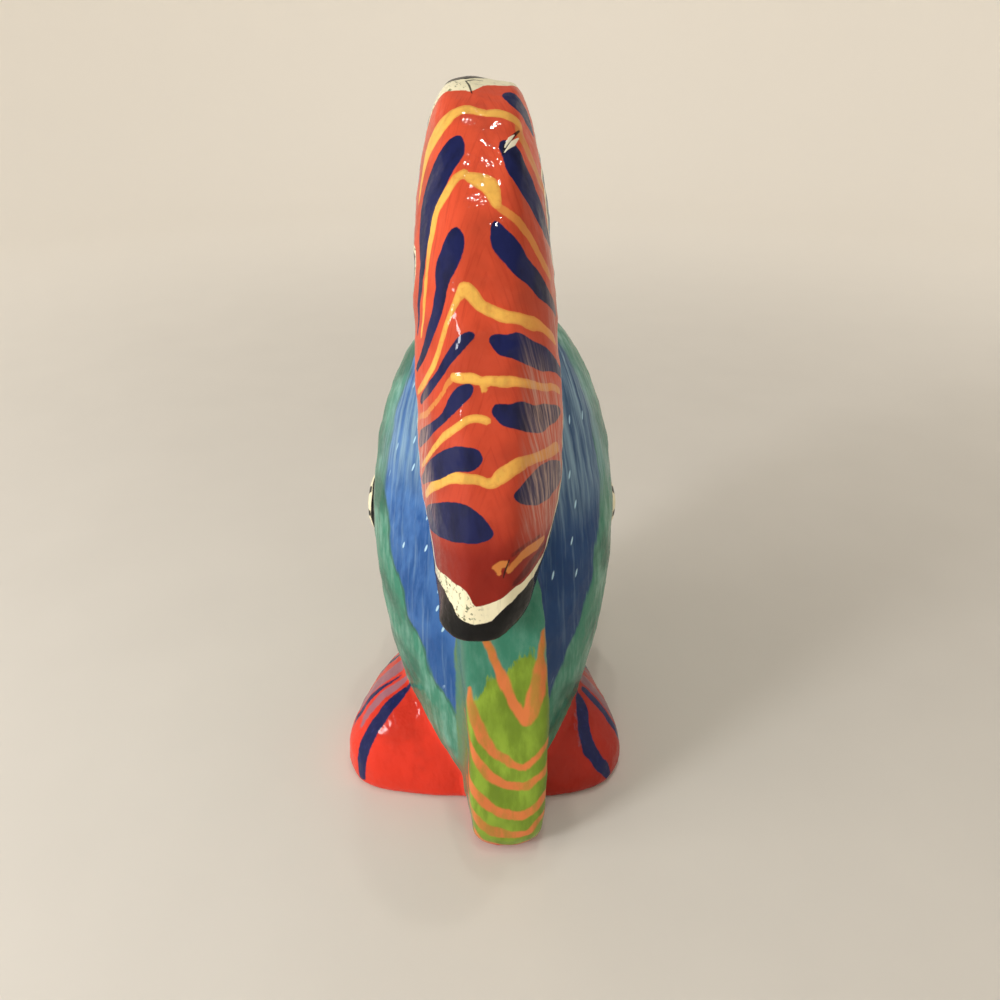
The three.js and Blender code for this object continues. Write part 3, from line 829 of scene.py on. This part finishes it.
def tail_colour(mixer, colours, noises):
    """Teal above and lime below, brushed into each other, under orange stripes."""
    brush, _, broad, hair = noises
    teal = mixer.mix(mixer.ramp(brush, 0.4, 0.72, 0, 0.5), colours.teal, colours.pale_teal)
    lime = mixer.mix(mixer.ramp(brush, 0.34, 0.66, 0.3, 1), colours.olive, colours.lime)
    lime = mixer.mix(mixer.ramp(broad, 0.5, 0.75, 0, 0.5), lime, colours.olive)
    # Painted shade: the lime darkens toward the tail's right side.
    shade_to_right = mixer.ramp(mixer.layer("tail_right"), 0, 26, 0, 0.45)
    lime = mixer.mix(shade_to_right, lime, tinted(colours.olive, 0.8))
    tail = mixer.cover(teal, "tail_lime", lime, 2.5, 11.0, hair)
    side = mixer.mix(
        mixer.ramp(brush, 0.5, 0.8), tinted(colours.pale_teal, 0.5), tinted(colours.olive, 0.9))
    tail = mixer.mix(mixer.ramp(mixer.layer("tail_side"), 0, 4, 0, 0.8), tail, side)
    stripe = mixer.mix(mixer.ramp(brush, 0.42, 0.7, 0, 0.5), colours.orange, tinted(colours.olive, 1.2))
    return mixer.cover(tail, "tail_orange", stripe, 0.9, 1.0, hair)


def foot_colour(mixer, colours, noises):
    """Red pelvic fins with mauve streaks and navy bands."""
    _, fine, broad, hair = noises
    foot = mixer.mix(mixer.ramp(broad, 0.44, 0.66), colours.foot_red, tinted(colours.foot_red, 0.78))
    # Painted shade: the red and the mauve darken toward the fish's right side.
    shade_to_right = mixer.ramp(mixer.layer("body_left"), 10, -60, 0, 0.75)
    foot = mixer.mix(shade_to_right, foot, tinted(colours.foot_red, 0.4))
    mauve = mixer.mix(shade_to_right, colours.mauve, tinted(colours.mauve, 0.6))
    foot = mixer.cover(foot, "foot_mauve", mauve, 0.8, 1.6, hair)
    navy = mixer.mix(mixer.ramp(hair, 0.5, 0.8), colours.navy, tinted(colours.navy, 1.8))
    return mixer.cover(foot, "foot_navy", navy, 0.5, 0.6, fine)


def fin_colour(mixer, colours, noises, streaks):
    """Red field under its yellow, ochre and navy strokes, hazed with pale dry brush and painted sheen.
    """
    brush, fine, broad, _ = noises
    red = mixer.mix(mixer.ramp(broad, 0.4, 0.66), colours.red, tinted(colours.red, 0.7))
    red = mixer.mix(mixer.ramp(streaks, 0.48, 0.78, 0, 0.4), red, colours.deep_red)
    red = mixer.mix(mixer.ramp(mixer.layer("fin_low"), -40, -5, 0, 0.3), red, colours.deep_red)
    low = mixer.ramp(mixer.layer("fin_low"), -5, 2, 0, 0.85)
    red = mixer.mix(low, red, tinted(colours.deep_red, 0.7))
    red = mixer.cover(red, "fin_deep", tinted(colours.deep_red, 0.4), 0.8, 0.8, brush)
    yellow = mixer.mix(mixer.ramp(brush, 0.44, 0.7), colours.yellow, tinted(colours.yellow, 0.76))
    yellow = mixer.mix(mixer.ramp(fine, 0.5, 0.76, 0, 0.4), yellow, colours.ochre)
    # The yellow strokes turn ochre at their edges: a darker outline, partly painted shade at the raised
    # paint's rim.
    yellow = mixer.mix(mixer.ramp(mixer.layer("fin_yellow"), 0.2, 1.3, 0.5, 0), yellow, colours.ochre)
    out = mixer.ramp(mixer.layer("fin_out"), 0, 34, 0, 0.8)
    yellow = mixer.mix(out, yellow, tinted(colours.ochre, 1.15))
    navy = mixer.mix(mixer.ramp(brush, 0.42, 0.72), colours.navy, tinted(colours.navy, 0.5))
    paint = mixer.cover(red, "fin_ochre", colours.ochre, 0.4, 0.5, fine)
    paint = mixer.cover(paint, "fin_yellow", yellow, 0.3, 0.4, fine)
    paint = mixer.cover(paint, "fin_navy", navy, 0.3, 0.35, fine)
    # Painted sheen: pale streaks over the fin's outlines, for the dry brush and the varnish's sheen
    # both.
    dry_and_sheen = mixer.ramp(streaks, 0.38, 0.7, 0.1, 0.66)
    sheened = mixer.times(mixer.ramp(mixer.layer("fin_sheen"), 0, 14), dry_and_sheen)
    return mixer.mix(sheened, paint, colours.dry_white_and_sheen)


def trim_colour(mixer, colours, noises, under):
    """Black and cream trim round the fin, laid over what is under it."""
    brush, fine, broad, hair = noises
    left = mixer.ramp(mixer.layer("fin_out"), 4, -14)
    # Painted sheen: the black turns grey-mauve on the fin's far left, a reflection on its left-facing
    # side.
    sheen_side = mixer.ramp(mixer.layer("fin_out"), -18, -34)
    sheen = mixer.times(sheen_side, mixer.ramp(brush, 0.4, 0.7, 0.2, 0.8))
    black = mixer.mix(sheen, colours.black, tinted(colours.mauve, 0.3))
    paint = mixer.cover(under, "fin_black", black, 0.4, 0.5, fine)
    flecks = mixer.times(mixer.ramp(fine, 0.55, 0.62), mixer.ramp(broad, 0.36, 0.56))
    cream = mixer.mix(mixer.times(flecks, left), colours.cream, tinted(colours.olive, 0.35))
    cream = mixer.mix(mixer.ramp(hair, 0.52, 0.74, 0, 0.5), cream, tinted(colours.cream, 0.5))
    return mixer.cover(paint, "fin_cream", cream, 0.3, 0.5, fine)


def painted_material(colours):
    """Every painted shape on one varnished sheet of paper."""
    material = bpy.data.materials.new("painted and varnished paper")
    material.use_nodes = True
    material.node_tree.nodes.clear()
    mixer = Mixer(material)
    fine = mixer.noise(2.2, 4)
    brush = mixer.noise(9, 4, (1, 1, 4.5), 0.6)
    broad = mixer.noise(38, 3)
    hair = mixer.noise(2.6, 4, (1, 1, 12), 0.6)
    on_fin = mixer.flat_place("fin_along", "fin_out")
    streaks = mixer.noise(1.9, 4, (13, 1, 1), 0.6, mixer.flat_place("fin_along", "fin_lean"))
    noises = (brush, fine, broad, hair)

    paint = body_colour(mixer, colours, noises)
    paint = trim_colour(mixer, colours, noises, paint)
    paint = mixer.cover(paint, "tail_field", tail_colour(mixer, colours, noises), 0.8, 0.8, fine)
    paint = mixer.cover(paint, "foot_field", foot_colour(mixer, colours, noises), 0.5, 0.8, fine)
    paint = mixer.cover(paint, "fin_red", fin_colour(mixer, colours, noises, streaks), 0.3, 0.4, fine)
    # Painted shade in the fold beside the tear, and the dark lines of the cracks.
    fold_shade_and_cracks = mixer.line_depth(on_fin, FOLD_SHADE_AND_CRACK_LINES)
    paint = mixer.mix(mixer.ramp(fold_shade_and_cracks, -0.25, 0.15, 0, 0.9), paint, colours.black)
    tear = mixer.line_depth(on_fin, TEAR_LINES)
    paint = mixer.mix(mixer.ramp(tear, -0.15, 0.15), paint, colours.paper)

    wrinkles = mixer.noise(9, 2, (1, 1, 1.5), 0.4)
    crinkle = mixer.noise(3.2, 1, (1, 1, 1.5), 0.4)
    thick = mixer.ramp(mixer.layer("fin_yellow"), -0.2, 1.4)
    thick = mixer.sum(thick, mixer.ramp(tear, -0.4, 0.6, 0, 1.4))
    rough = mixer.ramp(mixer.layer("foot_field"), 0, 4, 0.32, 0.75)
    height = mixer.sum(wrinkles, mixer.times(crinkle, rough))
    height = mixer.sum(height, mixer.times(thick, 0.22))
    bump = mixer.node("Bump", {"Strength": 0.6, "Distance": MM, "Height": height})
    normal = bump.outputs["Normal"]
    surface = mixer.node("BsdfPrincipled", {
        **VARNISH, "Base Color": paint, "Roughness": mixer.ramp(fine, 0.3, 0.7, 0.45, 0.6),
        "Normal": normal, "Coat Normal": normal})
    mixer.node("OutputMaterial", {"Surface": surface.outputs["BSDF"]})
    return material


def floor_material(colour):
    material = bpy.data.materials.new("plain pale floor")
    material.use_nodes = True
    tree = material.node_tree
    surface = tree.nodes["Principled BSDF"]
    surface.inputs["Roughness"].default_value = 0.7
    mixer = Mixer(material)
    grain = mixer.noise(110, 2)
    reach = mixer.vector("DISTANCE", mixer.place, (0.0, 0.0, 0.0)).outputs["Value"]
    floor = mixer.mix(grain, tinted(colour, 0.96), tinted(colour, 1.03))
    # Painted light: the floor grows paler away from the middle and up the wall.
    mixed = mixer.mix(mixer.ramp(reach, 0.4, 2.3), floor, tinted(colour, 1.3))
    tree.links.new(mixed, surface.inputs["Base Color"])
    return material


class FISH_OT_skin(bpy.types.Operator):
    """Make the fish's painted paper skin over its solid"""
    bl_idname = "fish.skin"
    bl_label = "Painted fish"

    def execute(self, context):
        sizes = context.scene.fish_sizes
        skin = fine_skin(sizes.mesh_step, sizes.smooth_rounds)
        if len(skin.data.vertices) < FEWEST_POINTS:
            raise RuntimeError("the skin came out empty")
        lay_paint(skin, sizes)
        press_paper(skin, sizes)
        skin.data.materials.append(painted_material(context.scene.fish_colours))
        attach(skin, "root")
        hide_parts(NODE)
        return {"FINISHED"}


def area_light(name, place, size, watts, colour, mirrored):
    """A soft light that looks at the fish; one that isn't mirrored leaves no glint in the varnish."""
    data = bpy.data.lights.new(name, "AREA")
    data.shape = "RECTANGLE"
    data.size, data.size_y = size
    data.energy = watts
    data.color = colour
    light = bpy.data.objects.new(name, data)
    bpy.context.scene.collection.objects.link(light)
    light.location = place
    light.rotation_euler = (Vector(LIT_PLACE) - Vector(place)).to_track_quat("-Z", "Y").to_euler()
    light.visible_glossy = mirrored
    return light


def sweep_mesh(flat, curve, height, sides=96, steps=12):
    """A round floor that curves up into a plain wall all round."""
    rings = [(0.02, 0.0), (flat, 0.0)]
    for i in range(1, steps + 1):
        turn = math.pi / 2 * i / steps
        rings.append((flat + curve * math.sin(turn), curve * (1 - math.cos(turn))))
    rings.append((flat + curve, height))
    points = [(0.0, 0.0, 0.0)]
    for radius, z in rings:
        for k in range(sides):
            turn = 2 * math.pi * k / sides
            points.append((radius * math.cos(turn), radius * math.sin(turn), z))
    faces = [(0, 1 + k, 1 + (k + 1) % sides) for k in range(sides)]
    for row in range(len(rings) - 1):
        low = 1 + row * sides
        for k in range(sides):
            there = (k + 1) % sides
            faces.append((low + k, low + sides + k, low + sides + there, low + there))
    mesh = bpy.data.meshes.new("floor")
    mesh.from_pydata(points, [], faces)
    mesh.shade_smooth()
    return mesh


class FISH_OT_studio(bpy.types.Operator):
    """Make the pale floor, the soft lights and the camera"""
    bl_idname = "fish.studio"
    bl_label = "Studio"

    def execute(self, context):
        studio = context.scene.fish_studio
        floor = bpy.data.objects.new("floor", sweep_mesh(FLOOR_FLAT, FLOOR_CURVE, WALL_HEIGHT))
        context.scene.collection.objects.link(floor)
        floor.data.materials.append(floor_material(studio.floor))

        for lamp in LAMPS:
            area_light(*lamp)
        for k in range(WALL_LAMPS):
            turn = 2 * math.pi * (k + 0.5) / WALL_LAMPS
            way = Vector((math.cos(turn), math.sin(turn), 0))
            place = way * WALL_LAMP_RING[0] + Vector((0, 0, WALL_LAMP_RING[1]))
            light = area_light(
                "wall lamp", place, WALL_LAMP_SIZE, WALL_LAMP_WATTS, WALL_LAMP_COLOUR, False)
            look = way * WALL_LAMP_LOOK[0] - Vector((0, 0, WALL_LAMP_LOOK[1]))
            light.rotation_euler = look.to_track_quat("-Z", "Y").to_euler()
        world = bpy.data.worlds.new("soft surround")
        world.use_nodes = True
        surround = world.node_tree.nodes["Background"]
        surround.inputs["Color"].default_value = SURROUND_COLOUR
        surround.inputs["Strength"].default_value = SURROUND_STRENGTH
        context.scene.world = world

        data = bpy.data.cameras.new("camera")
        data.lens = studio.lens
        data.sensor_width = FRAME_WIDTH
        data.clip_start = NEAREST
        camera = bpy.data.objects.new("camera", data)
        context.scene.collection.objects.link(camera)
        camera.location = (
            BODY_MIDDLE[0] * MM + studio.aside,
            BODY_MIDDLE[1] * MM - studio.distance,
            studio.height,
        )
        camera.rotation_euler = (math.pi / 2 - studio.pitch, 0, 0)
        context.scene.camera = camera
        context.scene.view_settings.view_transform = "Standard"
        return {"FINISHED"}


class FISH_PT_panel(bpy.types.Panel):
    """Lists what makes the fish and its studio"""
    bl_idname = "FISH_PT_panel"
    bl_label = "Papier-mache fish"
    bl_space_type = "VIEW_3D"
    bl_region_type = "UI"
    bl_category = "Fish"

    def draw(self, context):
        layout = self.layout
        for group in (context.scene.fish_sizes, context.scene.fish_colours, context.scene.fish_studio):
            for name in group.__annotations__:
                layout.prop(group, name)
        layout.operator("fish.skin")
        layout.operator("fish.studio")


CLASSES = (FishSizes, FishColours, FishStudio, FISH_OT_skin, FISH_OT_studio, FISH_PT_panel)


def register():
    for made in CLASSES:
        bpy.utils.register_class(made)
    bpy.types.Scene.fish_sizes = bpy.props.PointerProperty(type=FishSizes)
    bpy.types.Scene.fish_colours = bpy.props.PointerProperty(type=FishColours)
    bpy.types.Scene.fish_studio = bpy.props.PointerProperty(type=FishStudio)


def unregister():
    del bpy.types.Scene.fish_studio
    del bpy.types.Scene.fish_colours
    del bpy.types.Scene.fish_sizes
    for made in reversed(CLASSES):
        bpy.utils.unregister_class(made)


def main():
    register()
    bpy.ops.fish.studio()
    bpy.ops.fish.skin()


if __name__ == "__main__":
    main()
